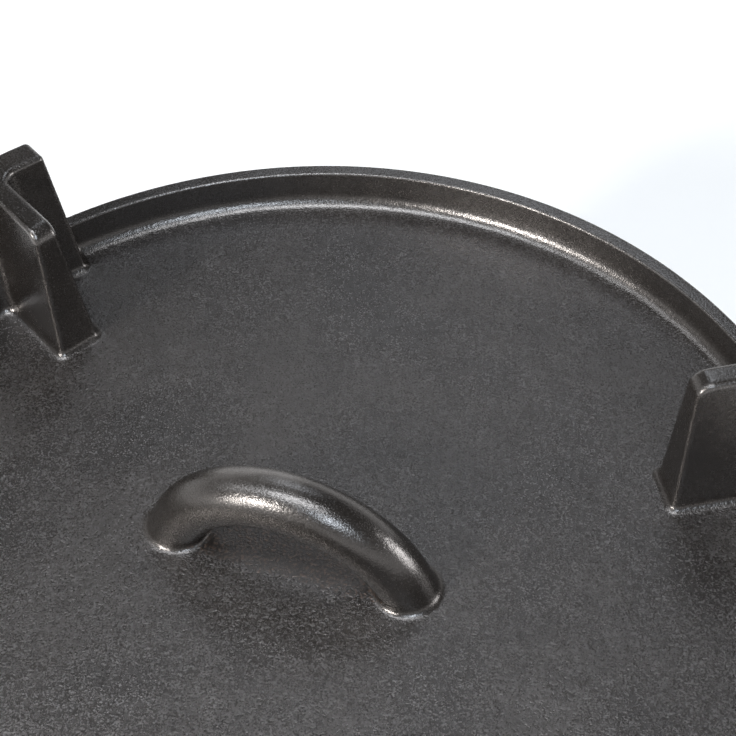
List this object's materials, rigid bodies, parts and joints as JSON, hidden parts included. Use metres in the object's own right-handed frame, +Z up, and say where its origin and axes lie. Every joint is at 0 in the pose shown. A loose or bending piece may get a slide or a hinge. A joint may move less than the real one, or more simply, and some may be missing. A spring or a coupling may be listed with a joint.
{
  "type": "camp dutch oven",
  "caption": "Cast-iron camp oven: legged round pot, flat lid with coal rim, stand feet and loop handle, and a swinging wire bail with a wound wire grip.",
  "frame": {"origin": "on the ground, under the middle of the pot", "axes": "+Z up, +X through the two ears and along the lid's handle, -Y to the front, where the bail lies folded"},
  "size_m": [0.362, 0.3108, 0.2055],
  "materials": {
    "pot_iron": "seasoned sand-cast skin",
    "lid_iron": "seasoned sand-cast skin",
    "bail_wire": "drawn wire, satin",
    "grip_wire": "drawn wire, bright"
  },
  "bodies": {
    "pot": {"pot": "pot_iron"},
    "lid": {"lid": "lid_iron"},
    "bail": {"bail": "bail_wire", "bail_grip": "grip_wire"}
  },
  "joints": [
    {"name": "lid_lift", "type": "slide", "parent": "pot", "child": "lid", "axis": [0, 0, 1], "range_m": [0, 0.16]},
    {"name": "bail_swing", "type": "hinge", "parent": "pot", "child": "bail", "pos_m": [0, 0, 0.132], "axis": [-1, 0, 0], "range_deg": [0, 259.6]}
  ]
}
